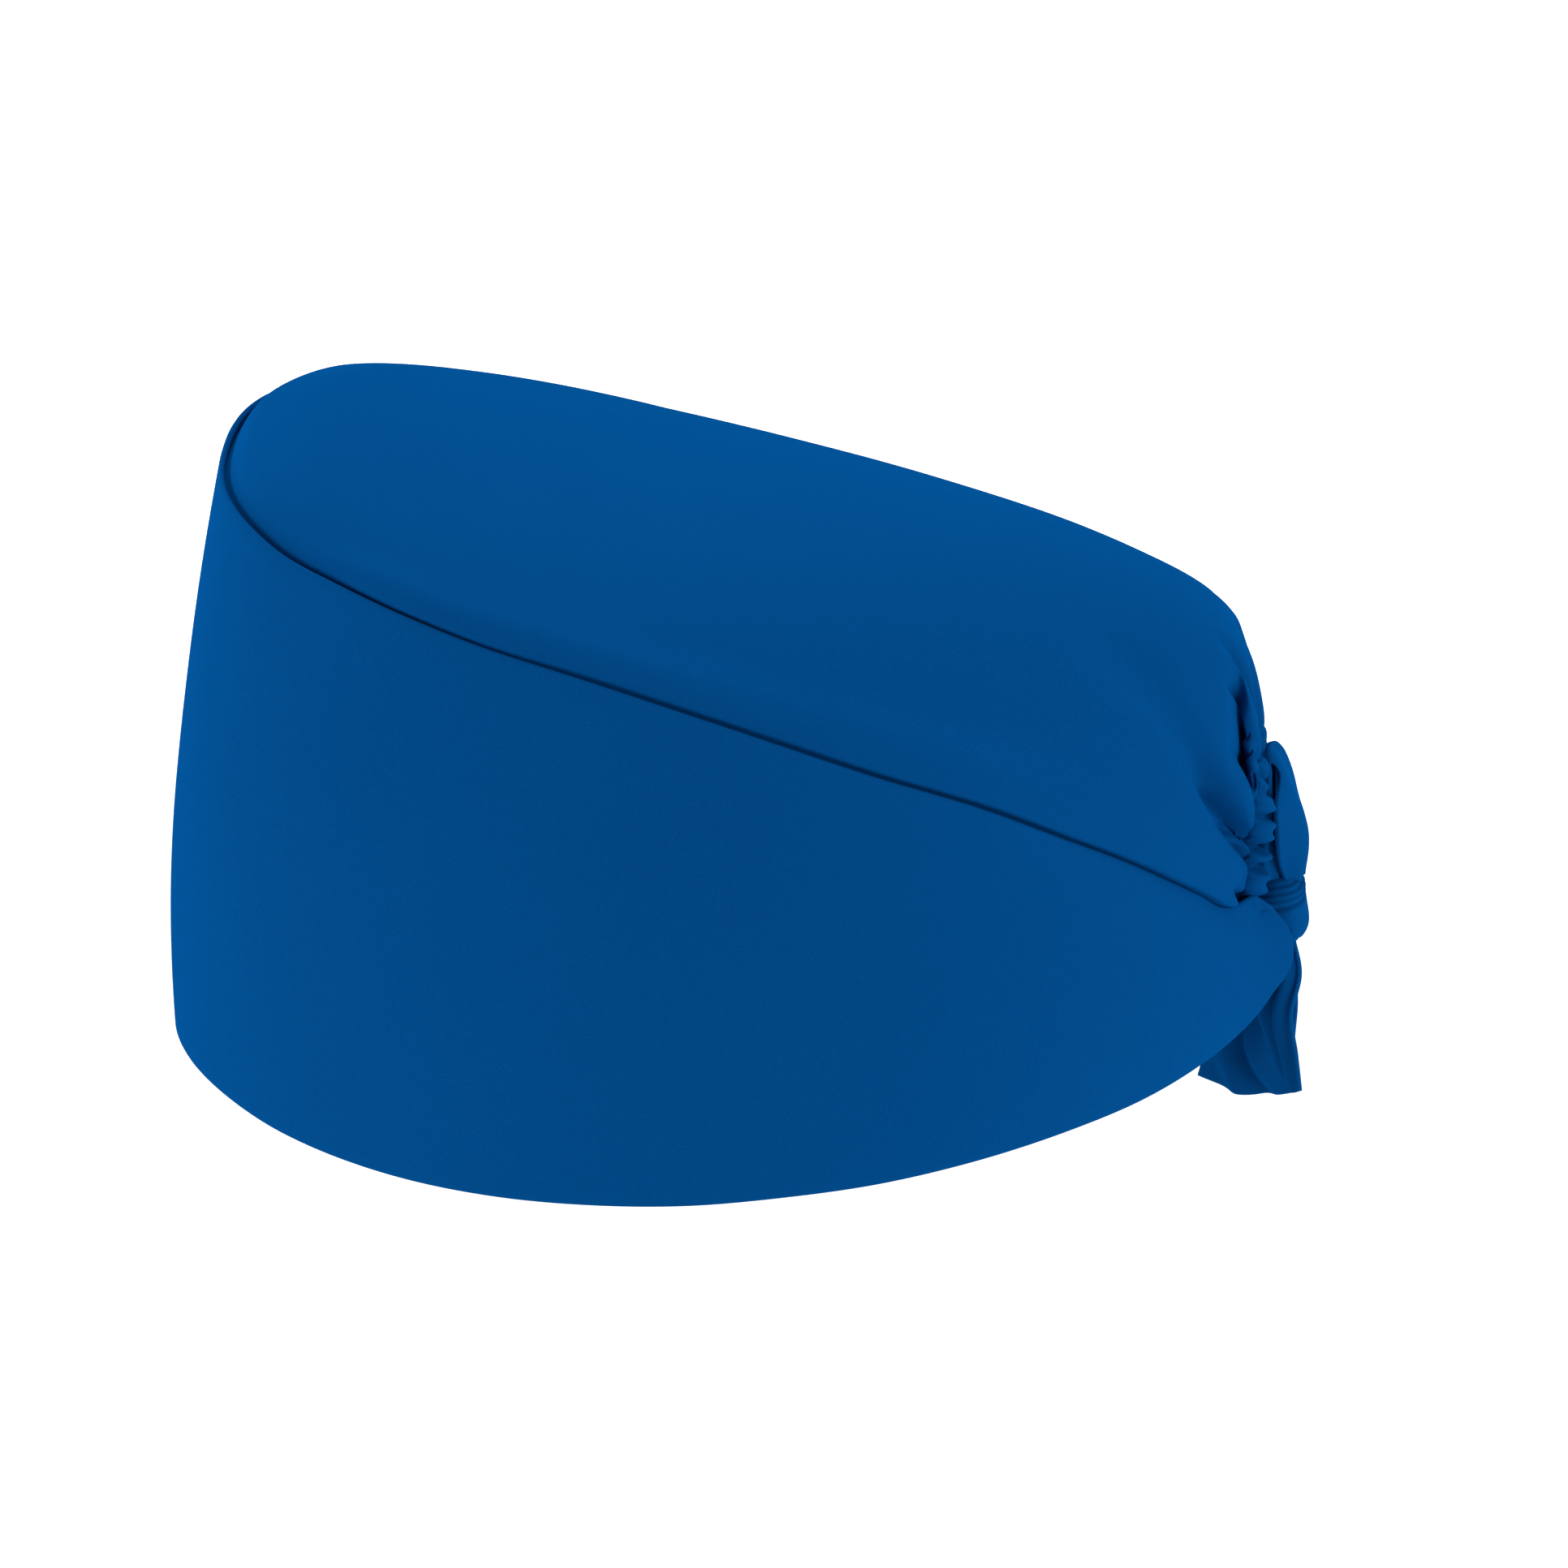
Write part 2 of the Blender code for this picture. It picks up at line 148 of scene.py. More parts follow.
# The loop's cloth from its front foot (0), over its top, to its back foot
# (1). back, up and curl are shares of its height, half is one of its width.
Bend = namedtuple("Bend", "station back up half curl")
LOOP = [
    Bend(0.00, -0.030, 0.00, 0.30, 0.00),
    Bend(0.12, -0.040, 0.22, 0.36, 0.00), Bend(0.30, -0.045, 0.60, 0.36, 0.00),
    Bend(0.43, -0.055, 0.93, 0.24, 0.02),
    Bend(0.50, -0.040, 1.01, 0.18, 0.03), Bend(0.57, 0.030, 0.93, 0.24, 0.04),
    Bend(0.70, 0.150, 0.65, 0.44, 0.17), Bend(0.84, 0.230, 0.32, 0.44, 0.19),
    Bend(1.00, 0.170, -0.05, 0.22, 0.03),
]

# A free end from the knot (0) to its hem (1). down and back are shares of
# its length, side, half and wave of its width. turn is in degrees, crease
# is a place across the end (-1 to 1), and slant is a share of HEM_SLANT.
Drop = namedtuple("Drop", "station down back side half turn wave crease slant")
LEFT_TAIL = [
    Drop(0.00, 0.00, 0.02, 0.12, 0.14, 30, 0.04, -0.30, 0),
    Drop(0.20, 0.20, 0.05, 0.20, 0.18, 48, 0.05, -0.30, 0),
    Drop(0.45, 0.45, -0.01, 0.28, 0.24, 60, 0.05, -0.35, 0),
    Drop(0.75, 0.73, 0.05, 0.29, 0.28, 72, 0.04, -0.35, 0),
    Drop(1.00, 0.97, 0.11, 0.29, 0.30, 80, 0.02, -0.30, 0),
]
RIGHT_TAIL = [
    Drop(0.00, 0.00, -0.03, -0.16, 0.18, 8, 0.03, -0.90, 0),
    Drop(0.20, 0.23, -0.02, -0.20, 0.22, 20, 0.05, -0.90, 0),
    Drop(0.50, 0.58, -0.07, -0.30, 0.36, 32, 0.06, -0.80, 0.3),
    Drop(0.75, 0.90, -0.15, -0.40, 0.52, 38, 0.05, -0.30, 0.5),
    Drop(1.00, 1.24, -0.16, -0.50, 0.67, 40, 0.02, 0.40, 0.7),
]

# Angles round the head, from the forehead (0) to the middle of the back
# (180 degrees). Where two are given, a form begins at the first and is
# complete at the second.
CASING_ANGLE = math.radians(170)
NOSE_ANGLE = math.radians(28)
NOSE_END = np.radians((20, 52))
BACK_START = np.radians((150, 170))
BELLY_END = (2.4, 3.0)
TIE_AWAY = np.radians((165, 176))
TIE_STEEP = np.radians((168.5, 173))
TIE_UPPER = np.radians((169.2, 172.3))
TIE_LOWER = np.radians((168.8, 172.4))

# How far round the band's ends run on inside the knot, in radians.
INTO_KNOT = 0.06

# The ties where they enter the knot, as shares of its height and depth.
TIE_SPREAD = 0.21
TIE_DROP = 0.29
TIE_BEHIND = 0.24

# The knot's middle: its height as a share of the band's, and how far it
# lies inside the back of the head opening, as a share of its own depth.
KNOT_LEVEL = 0.1945
KNOT_INSET = 0.17

# Rows of the band's grid: the share of each face and of each edge's fold.
FACE_ROWS, FOLD_ROWS = 0.46, 0.04

# The gathers, in degrees over the opening. The casing runs past both of
# its ends, and sinks behind the band there.
CASING_PLEATS = 17
PLEATED_ARC = 172
CASING_PAST = 5
DEEP_FOLD_ANGLE = 44

# Small forms of the cloth, in metres.
BAND_RIPPLE = 0.00022
SEAM_GAP = 0.0004
SEWN_PRESS = 0.0007
PUFF_FRONT = 0.0016
PUFF_GROWTH = 0.0009
CROWN_SWELL = 0.0002
EDGE_FLARE = 0.0026
CASING_SLIDE = 0.0004
CASING_LIFT = 0.0010
CASING_SINK = 0.0007
CASING_TWIST = 0.0005
FAR_SIDE_SHIFT = 0.0008
FAR_FOOT_SPREAD = 0.0017
KNOT_SAG = 0.0010
KNOT_ROOM = 0.0006
LOOP_SEAT = 0.0004
LOOP_PLEAT = 0.0011
LOOP_RIPPLE = 0.0005
LOOP_ROUND = 0.0024
TAIL_SEAT = 0.0006
TAIL_PLEAT = 0.0004
TAIL_FOLD = 0.0015
HEM_SLANT = 0.0028

# The cloth's patterns: roughly how many grains they have in a metre.
CLOUDS, MOTTLE, FIBRES = 22, 420, 2600

# Points that faces are turned away from.
INSIDE = np.array([0, 0, 0.03])
IN_OPENING = np.array([0, 0.1, 0.03])

# The studio, in metres and watts.
FLOOR_SIZE, FLOOR_LEVEL = 3, -0.30
FLOOR_GLOW, GLOW_START, GLOW_END = 0.9, 0.7, 1.3
SKY_LIGHT, SKY_SEEN = 0.2, 0.9
Lamp = namedtuple("Lamp", "name place power")
LAMP_SIZE = 1.0
LAMPS = (
    Lamp("front_light", (0.3, -2.2, 0.5), 41),
    Lamp("back_light", (0.3, 2.2, 0.7), 9),
    Lamp("near_back_light", (1.5, 1.6, 0.6), 28.5),
    Lamp("top_light", (0.0, 0.0, 2.2), 15),
    Lamp("far_light", (-1.5, 0.0, 1.7), 32),
)
LAMP_TARGET = Vector((0, 0, 0.05))
CAMERA_LENS, CAMERA_SENSOR = 159.4, 36
CAMERA_TURN, CAMERA_LIFT = math.radians(2), math.radians(23)
CAMERA_DISTANCE = 1.3
CAMERA_TARGET = Vector((0, 0.0104, 0.04563))


def metres(name, description, default):
    """A length that a user can change."""
    return bpy.props.FloatProperty(
        name=name, description=description, default=default,
        unit="LENGTH", subtype="DISTANCE", precision=4)


def colour(name, description, default):
    """A colour that a user can change."""
    return bpy.props.FloatVectorProperty(
        name=name, description=description, default=default,
        size=3, subtype="COLOR", min=0, max=1)


class CapSizes(bpy.types.PropertyGroup):
    """Sizes of the cap's pieces."""
    opening_length: metres("Opening length", "Head opening, front to back",
                           0.2108)
    opening_width: metres("Opening width", "Head opening, side to side",
                          0.158)
    band_height: metres("Band height", "Band at the forehead", 0.118)
    front_lean: metres("Front lean", "How far the front leans in", 0.0125)
    side_lean: metres("Side lean", "How far the sides lean in", 0.008)
    back_lean: metres("Back lean", "How far the back leans in", 0.006)
    tie_reach: metres("Tie reach", "Band's ends beyond the head's curve",
                      0.0022)
    band_bulge: metres("Band bulge", "Outward curve of the band", 0.0026)
    band_wall: metres("Band wall", "Thickness of the doubled cloth", 0.0012)
    crown_rise: metres("Crown rise", "Height of the crown's dome", 0.0245)
    crown_wall: metres("Crown wall", "Thickness of the crown", 0.0009)
    crown_tuck: metres("Crown tuck", "Crown hidden behind the band", 0.003)
    fold_depth: metres("Fold depth", "Depth of the gathers", 0.005)
    casing_width: metres("Casing width", "Width of the casing", 0.0050)
    casing_thickness: metres("Casing thickness", "Thickness of the casing",
                             0.0026)
    casing_height: metres("Casing height", "Height of the back opening",
                          0.0300)
    knot_width: metres("Knot width", "Knot, side to side", 0.017)
    knot_depth: metres("Knot depth", "Knot, front to back", 0.010)
    knot_height: metres("Knot height", "Knot, top to bottom", 0.0145)
    loop_height: metres("Loop height", "Height of the bow's loop", 0.025)
    loop_width: metres("Loop width", "Width of the bow's loop", 0.020)
    tail_length: metres("Tail length", "Length of the free ends", 0.0285)
    tail_width: metres("Tail width", "Width of the free ends", 0.018)
    tie_wall: metres("Tie wall", "Thickness of the ties", 0.0009)
    thread: metres("Thread pitch", "Distance between threads", 0.0004)


class CapColours(bpy.types.PropertyGroup):
    """Colours of the cloth and the studio."""
    cloth: colour("Cloth", "Dyed cloth", (0.0008, 0.060, 0.215))
    cloth_deep: colour("Cloth, deep", "Cloth where the dye lies deeper",
                       (0.0006, 0.050, 0.185))
    sheen: colour("Sheen", "Light caught by the fibres", (0.0, 0.28, 1.0))
    floor: colour("Floor", "Pale studio floor", (0.92, 0.92, 0.92))


class Cap:
    """The cap's sizes, read from the scene."""
    def __init__(self):
        group = bpy.context.scene.scrub_cap_sizes
        for name in CapSizes.__annotations__:
            setattr(self, name, getattr(group, name))


def ease(low, high, value):
    """0 below low, 1 above high, smooth between."""
    share = np.clip((np.asarray(value, float) - low) / (high - low), 0, 1)
    return share * share * (3 - 2 * share)


def along(rows, column, station):
    """Smooth value of a table's column at each station."""
    xs = np.array([row.station for row in rows])
    ys = np.array([getattr(row, column) for row in rows], float)
    station = np.clip(station, xs[0], xs[-1])
    i = np.clip(np.searchsorted(xs, station, side="right") - 1, 0,
                len(xs) - 2)
    below = np.maximum(np.arange(len(xs)) - 1, 0)
    above = np.minimum(np.arange(len(xs)) + 1, len(xs) - 1)
    slope = (ys[above] - ys[below]) / (xs[above] - xs[below])
    span = xs[i + 1] - xs[i]
    s = (station - xs[i]) / span
    return (ys[i] * (1 + 2 * s) * (1 - s) ** 2
            + slope[i] * span * s * (1 - s) ** 2
            + ys[i + 1] * s * s * (3 - 2 * s)
            + slope[i + 1] * span * s * s * (s - 1))


def stack(x, y, z):
    """Points from their three coordinates."""
    return np.stack(np.broadcast_arrays(x, y, z), axis=-1)


def unit(vectors):
    """The same directions with length 1."""
    length = np.linalg.norm(vectors, axis=-1, keepdims=True)
    return vectors / np.maximum(length, 1e-12)


def oval(angle, front, back, half_width, front_power, back_power):
    """Plan of an edge: angle 0 at the forehead, pi at the back."""
    cos, sin = np.cos(angle), np.sin(angle)
    power = np.where(cos > 0, front_power, back_power)
    reach = np.where(cos > 0, front, back)
    x = np.sign(sin) * half_width * np.abs(sin) ** (2 / power)
    y = -np.sign(cos) * reach * np.abs(cos) ** (2 / power)
    return x, y


def edge_point(cap, angle, rows, front, back, half_width, powers):
    """Point on one edge of the band, from its plan and its table."""
    x, y = oval(angle, front, back, half_width, *powers)
    station = (y + front) / (front + back)
    return stack(x, y, along(rows, "height", station) * cap.band_height)


def rim_point(cap, angle):
    """Point on the band's lower edge."""
    half = cap.opening_length / 2
    return edge_point(cap, angle, RIM, half, half, cap.opening_width / 2,
                      RIM_POWERS)


def top_point(cap, angle):
    """Point on the band's top edge, where the crown is sewn on."""
    half = cap.opening_length / 2
    return edge_point(cap, angle, TOP, half - cap.front_lean,
                      half - cap.back_lean,
                      cap.opening_width / 2 - cap.side_lean, TOP_POWERS)


def outward(cap, angle):
    """Level direction away from the head at the band's top edge."""
    step = 1e-3
    run = top_point(cap, angle + step) - top_point(cap, angle - step)
    return unit(stack(run[..., 1], -run[..., 0], 0 * run[..., 0]))


def tie_end_angle(cap):
    """Where the band's ends meet the sides of the knot."""
    half = cap.knot_width / 2 + KNOT_ROOM
    return math.pi - math.asin(half / (cap.opening_width / 2))


def band_face(cap, angle, height):
    """Outer face of the band. height: 0 at the rim, 1 at the top edge."""
    size = np.abs(angle)
    level = height[..., None]
    point = rim_point(cap, angle) * (1 - level)
    point = point + top_point(cap, angle) * level
    belly = cap.band_bulge * (1 - ease(*BELLY_END, size))
    belly = belly * 4 * height * (1 - height) * (1 + 0.5 * (1 - height))
    ripple = np.sin(9 * angle + 5 * height) * np.sin(4.2 * height + 3 * angle)
    ripple = BAND_RIPPLE * ripple * np.sin(np.pi * np.clip(height, 0, 1))
    point = point + outward(cap, angle) * (belly + ripple)[..., None]
    away = ease(*TIE_AWAY, size) + 1.7 * ease(*TIE_STEEP, size) * height
    point[..., 1] += cap.tie_reach * away
    # The ends narrow to the ties, which run into the knot.
    knot = knot_middle(cap)
    upper, lower = ease(*TIE_UPPER, size), ease(*TIE_LOWER, size)
    tie = lower + (upper - lower) * height
    level = TIE_SPREAD * (height - 0.5) - TIE_DROP
    centre = knot[2] + cap.knot_height * level
    point[..., 2] += (centre - point[..., 2]) * tie
    behind = knot[1] + TIE_BEHIND * cap.knot_depth
    point[..., 1] += (behind - point[..., 1]) * tie
    return point


def band_skin(cap, u, v):
    """The doubled cloth: up its outer face, over its fold, down its inner."""
    last = tie_end_angle(cap) + INTO_KNOT
    side = 2 * u - 1
    angle = last * np.sign(side) * np.abs(side) ** 0.95
    inner_start = FACE_ROWS + FOLD_ROWS
    rim_start = inner_start + FACE_ROWS
    outer = np.clip(v / FACE_ROWS, 0, 1)
    inner = np.clip((v - inner_start) / FACE_ROWS, 0, 1)
    height = np.where(v < FACE_ROWS + FOLD_ROWS / 2, outer, 1 - inner)
    over = np.clip((v - FACE_ROWS) / FOLD_ROWS, 0, 1)
    under = np.clip((v - rim_start) / FOLD_ROWS, 0, 1)
    point = band_face(cap, angle, height)
    # The wall lies inside this face, and each fold is half a circle.
    step = 1e-3
    upper = band_face(cap, angle, np.minimum(height + step, 1))
    lower = band_face(cap, angle, np.maximum(height - step, 0))
    right = band_face(cap, angle + step, height)
    left = band_face(cap, angle - step, height)
    rise = upper - lower
    normal = unit(np.cross(right - left, rise))
    facing = (outward(cap, angle) * normal).sum(-1, keepdims=True)
    normal = normal * np.where(facing < 0, -1, 1)
    at_rim = v > rim_start
    depth = np.where(at_rim, 0.5 + 0.5 * np.cos(np.pi * under),
                     0.5 - 0.5 * np.cos(np.pi * over))
    lip = np.where(at_rim, -np.sin(np.pi * under), np.sin(np.pi * over))
    return (point - normal * (cap.band_wall * depth)[..., None]
            + unit(rise) * (cap.band_wall / 2 * lip)[..., None])


def seam_gap(angle):
    """Room between the band's inner face and the crown inside it."""
    size = np.abs(angle)
    nose = 1 - ease(*NOSE_END, size)
    return SEAM_GAP * (1 + 0.25 * nose + ease(*BACK_START, size))


def seat_point(cap, angle):
    """Crown's lower edge, tucked inside the band's top edge."""
    inset = cap.band_wall + seam_gap(angle)
    point = top_point(cap, angle) - outward(cap, angle) * inset[..., None]
    point[..., 2] -= cap.crown_tuck
    return point


def crown_apex(cap, station):
    """Middle of the crown, from the forehead to the casing."""
    nose = seat_point(cap, np.array(0.0))
    foot = seat_point(cap, np.array(CASING_ANGLE))
    top_y = foot[1] + 0.1 * cap.casing_height
    top_z = foot[2] + cap.casing_height
    back = along(CROWN_PROFILE, "back", station)
    rise = along(CROWN_PROFILE, "rise", station) * cap.crown_rise
    y = nose[1] + (top_y - nose[1]) * back
    z = nose[2] + (top_z - nose[2]) * back + rise
    return stack(0 * y, y, z)


def crown_face(cap, station, over):
    """Crown without creases. over: -90 to 90 degrees across it."""
    end = NOSE_ANGLE + (CASING_ANGLE - NOSE_ANGLE) * station ** 0.85
    foot = seat_point(cap, end)
    apex = crown_apex(cap, station)
    base = foot * np.array([0, 1, 1])
    up = apex - base
    turn = np.radians(over)
    # The seam's own curve there, as shares of its width and length.
    lying = seat_point(cap, end * over / 90)
    nose = seat_point(cap, np.array(0.0))
    wide = lying[..., 0] / foot[..., 0]
    tall = (foot[..., 1] - lying[..., 1]) / (foot[..., 1] - nose[1])
    power = 0.95 - 0.1 * ease(0.85, 1.0, station)
    arch_x = np.sign(turn) * np.abs(np.sin(turn)) ** power
    arch_z = np.maximum(np.cos(turn), 0) ** power
    # The front follows the seam, and further back the crown is an arch.
    arched = ease(0.0, 0.30, station)
    wide = wide * (1 - arched) + arch_x * arched
    tall = tall * (1 - arched) + arch_z * arched
    level = lying[..., 2] - base[..., 2] - (nose[2] - base[..., 2]) * tall
    point = base + up * tall[..., None]
    point[..., 0] += foot[..., 0] * wide
    point[..., 2] += level * (1 - arched)
    return point


def pleats():
    """Angle and depth of each pleat along the casing, and its length."""
    i = np.arange(CASING_PLEATS)
    angle = PLEATED_ARC * (i / (CASING_PLEATS - 1) - 0.5)
    angle = angle + 1.8 * np.sin(2.4 * i) + 0.8 * np.sin(5.1 * i)
    # The deep fold leaves no room for a pleat beside it.
    clear = 1 - 0.8 * np.exp(-((angle - DEEP_FOLD_ANGLE) / 6) ** 2)
    depth = (1.0 + 0.30 * np.sin(3.7 * i + 1.0)) * clear
    length = 0.115 + 0.035 * np.sin(1.9 * i + 0.5)
    return angle, depth, length


def nearest(points, path):
    """Where along a path is nearest to each point, and how far it is."""
    place = np.zeros(len(points))
    best = np.full(len(points), np.inf)
    for i, (start, end) in enumerate(zip(path, path[1:])):
        run = end - start
        share = np.clip((points - start) @ run / (run @ run), 0, 1)
        away = np.linalg.norm(points - start - share[:, None] * run, axis=1)
        closer = away < best
        place[closer] = i + share[closer]
        best[closer] = away[closer]
    return place, best


def crease_shift(cap, points, station, rows, power=2):
    """How far one crease moves each point of the crown: inwards is less."""
    shift = np.zeros(len(points))
    near = station > rows[0].station - 0.06
    steps = np.linspace(rows[0].station, rows[-1].station, 28)
    path = crown_face(cap, steps, along(rows, "over", steps))
    place, away = nearest(points[near], path)
    where = rows[0].station + place * (steps[1] - steps[0])
    share = away / along(rows, "width", where)
    shift[near] = -along(rows, "depth", where) * np.exp(-share ** power)
    return shift


def seam_puff(cap, station, over, points):
    """Crown's cloth standing out just above its seam with the band."""
    angles = np.linspace(-CASING_ANGLE, CASING_ANGLE, 180)
    place, away = nearest(points, seat_point(cap, angles))
    tuck = cap.crown_tuck
    # Its sewn edge, out of sight, is pressed into the band.
    sewn = SEWN_PRESS + seam_gap(angles[0] + place * (angles[1] - angles[0]))
    sewn = sewn * (1 - ease(0.3 * tuck, 0.8 * tuck, away))
    swell = ease(0.93 * tuck, 1.21 * tuck, away)
    swell = swell * (1 - ease(1.8 * tuck, 6.5 * tuck, away))
    # On the far side it starts further back.
    first = np.where(over < 0, 0.3, 0.05)
    side = ease(first, first + 0.15, station) * (1 - ease(0.9, 1, station))
    height = PUFF_FRONT + PUFF_GROWTH * ease(0.42, 0.62, station)
    return sewn + height * swell * side * ease(50, 70, np.abs(over))


def pleat_rows(cap, angle, depth, length):
    """One gather as a crease that deepens towards the casing."""
    lean = 0.06 * angle
    return [Crease(1 - row.share * length, angle - row.share * lean,
                   row.width, cap.fold_depth * row.depth * depth)
            for row in GATHER]


def crown_creases(cap, station, over, points):
    """How far creases and gathers move the crown's cloth out or in."""
    shift = np.zeros(len(points))
    for rows in CREASES:
        shift += crease_shift(cap, points, station, rows)
    for angle, depth, length in zip(*pleats()):
        rows = pleat_rows(cap, angle, depth, length)
        shift += crease_shift(cap, points, station, rows)
    swell = np.cos(np.radians(over) * 5) * np.sin(station * 8)
    shift += CROWN_SWELL * swell * ease(0.1, 0.3, station)
    return shift + seam_puff(cap, station, over, points)


def flare(station, over):
    """How far the gathered edge spreads sideways over the opening."""
    size = np.abs(over)
    side = ease(28, 55, size) * (1 - ease(76, 90, size))
    return EDGE_FLARE * np.sign(over) * side * ease(0.955, 1.0, station)


def crown_skin(cap, station, over):
    """Outer face of the crown with its creases."""
    low, high = np.maximum(station - 2e-3, 0), np.minimum(station + 2e-3, 1)
    left, right = np.maximum(over - 0.5, -90), np.minimum(over + 0.5, 90)
    run = crown_face(cap, high, over) - crown_face(cap, low, over)
    across = crown_face(cap, station, right) - crown_face(cap, station, left)
    normal = unit(np.cross(across, run))
    point = crown_face(cap, station, over)
    facing = ((point - INSIDE) * normal).sum(-1, keepdims=True)
    normal = normal * np.where(facing < 0, -1, 1)
    tuck = np.zeros(len(point))
    for rows in TUCKS:
        tuck -= crease_shift(cap, point, station, rows, 3)
    # The tucks fold in sideways and down, under the cloth beside them.
    inward = unit(stack(-np.sign(over), 0 * over, -0.42 + 0 * over))
    shift = crown_creases(cap, station, over, point)
    point = point + normal * shift[:, None] + inward * tuck[:, None]
    point[:, 0] += flare(station, over)
    return point


def crown_sheet(cap, u, v):
    """The crown's grid, closest along the seam with the band."""
    over = 90 * np.sin(np.pi * (u - 0.5))
    return crown_skin(cap, 1 - (1 - v) ** 1.5, over)


def casing_face(cap, place, around):
    """The ruffled casing. place 0 to 1 over the opening, around its tube."""
    reach = (90 + CASING_PAST) * (2 * place - 1)
    over = np.clip(reach, -90, 90)
    sunk = np.abs(reach - over) / CASING_PAST * cap.crown_tuck
    end = np.ones_like(over)
    edge = crown_skin(cap, end, over)
    run = unit(crown_face(cap, end, over) - crown_face(cap, end * 0.975, over))
    # At its sides it runs straight back.
    sides = ease(15, 60, np.abs(over))[:, None]
    run = unit(run * (1 - 0.75 * sides) + np.array([0, 1.0, 0]) * sides)
    along_arch = unit(crown_face(cap, end, np.minimum(over + 1, 90))
                      - crown_face(cap, end, np.maximum(over - 1, -90)))
    outside = unit(np.cross(run, along_arch))
    facing = ((edge - IN_OPENING) * outside).sum(-1, keepdims=True)
    outside = outside * np.where(facing < 0, -1, 1)
    # The cloth is pinched at each gather and puffs out between them.
    pinch = np.zeros_like(over)
    for angle, depth in zip(*pleats()[:2]):
        pinch += depth * np.exp(-((over - angle) / 1.9) ** 2)
    puff = 1 - pinch
    turn = 2 * np.pi * around
    # Its far foot is drawn out towards the knot.
    spread = FAR_FOOT_SPREAD * ease(-58, -74, over)
    wide = cap.casing_width / 2 * (1.0 + 0.05 * puff) + spread
    thick = cap.casing_thickness / 2 * (0.65 + 0.80 * puff)
    slide = CASING_SLIDE * np.sin(over * 0.9 + 1)
    middle = edge + run * (cap.casing_width / 2 * 0.56 + slide)[:, None]
    middle = middle + outside * (CASING_LIFT * puff - CASING_SINK)[:, None]
    middle[:, 1] += FAR_SIDE_SHIFT * ease(-20, -50, over)
    middle[:, 1] += spread - 0.6 * sunk
    middle[:, 2] -= 0.4 * sunk
    cos, sin = np.cos(turn), np.sin(turn)
    lip = np.sign(sin) * np.abs(sin) ** 0.75
    twist = CASING_TWIST * np.sin(2 * turn) * pinch
    return (middle + run * (wide * cos)[:, None]
            + outside * (thick * lip)[:, None]
            + along_arch * twist[:, None])


def knot_middle(cap):
    """Middle of the knot, at the back of the head opening."""
    back = cap.opening_length / 2 - KNOT_INSET * cap.knot_depth
    return np.array([0, back, KNOT_LEVEL * cap.band_height])


def knot_face(cap, direction):
    """Wrapped knot from unit directions: a pleated band over a bulge."""
    x, y, z = direction[..., 0], direction[..., 1], direction[..., 2]
    size = np.array([cap.knot_width, cap.knot_depth, cap.knot_height]) / 2
    swell = np.sign(direction) * np.abs(direction) ** 0.86
    level = z - 0.18 * y + 0.06 * np.sin(4 * x)
    wrapped = ease(0.20, 0.32, level)
    groove = np.zeros(len(level))
    for wrap in KNOT_WRAPS:
        away = (level - wrap.level) / wrap.width
        groove += wrap.depth * np.exp(-away ** 2)
    # One groove runs slanting across the plain cloth below the wraps.
    slant = z + 0.8 * y + 0.35
    under = 1 - ease(-0.05, 0.1, level)
    groove += 0.4 * under * np.exp(-(slant / 0.08) ** 2)
    grow = 1 + 0.07 * wrapped - 0.085 * groove
    point = swell * size * grow[..., None]
    point[..., 1] += KNOT_SAG * ease(0.2, -0.5, z)
    return knot_middle(cap) + point


def loop_face(cap, across, place):
    """The loop's cloth: place 0 to 1 from its front foot to its back."""
    foot = knot_middle(cap) + [0, 0, cap.knot_height / 2 - LOOP_SEAT]
    back = along(LOOP, "back", place) * cap.loop_height
    up = along(LOOP, "up", place) * cap.loop_height
    half = along(LOOP, "half", place) * cap.loop_width
    curl = along(LOOP, "curl", place) * cap.loop_height
    aside = 2 * across - 1
    near = 1 - ease(0.05, 0.55, up / cap.loop_height)
    pleat = LOOP_PLEAT * near * np.cos(5 * np.pi * across)
    pleat = pleat + LOOP_RIPPLE * np.sin(3 * np.pi * across + 9 * place)
    y = foot[1] - 0.12 * cap.knot_depth + back + pleat - curl * aside ** 2
    round_top = LOOP_ROUND * aside ** 2 * ease(0.6, 1.0, up / cap.loop_height)
    return stack(aside * half, y, foot[2] + up - round_top)


def tail_face(cap, rows, across, place):
    """A free end's cloth: place 0 at the knot, 1 at its hem."""
    top = knot_middle(cap) - [0, 0, cap.knot_height / 2 - TAIL_SEAT]
    back = along(rows, "back", place) * cap.tail_length
    side = along(rows, "side", place) * cap.tail_width
    half = along(rows, "half", place) * cap.tail_width
    turn = np.radians(along(rows, "turn", place))
    wave = along(rows, "wave", place) * cap.tail_width
    aside = 2 * across - 1
    hem = 0.07 * cap.tail_length * place * (1 - aside ** 2)
    down = along(rows, "down", place) * cap.tail_length + hem
    curl = wave * np.sin(1.3 * np.pi * aside + 0.6)
    curl = curl + TAIL_PLEAT * (1 - place) * np.cos(6 * np.pi * across)
    away = aside - along(rows, "crease", place)
    fold = np.exp(-((away + 0.5) / 0.25) ** 2) - np.exp(-(away / 0.16) ** 2)
    curl = curl + TAIL_FOLD * fold * ease(0.1, 0.4, place)
    down = down - HEM_SLANT * along(rows, "slant", place) * aside
    x = top[0] + side + np.sin(turn) * half * aside + np.cos(turn) * curl
    y = top[1] + back + np.cos(turn) * half * aside - np.sin(turn) * curl
    return stack(x, y, top[2] - down)


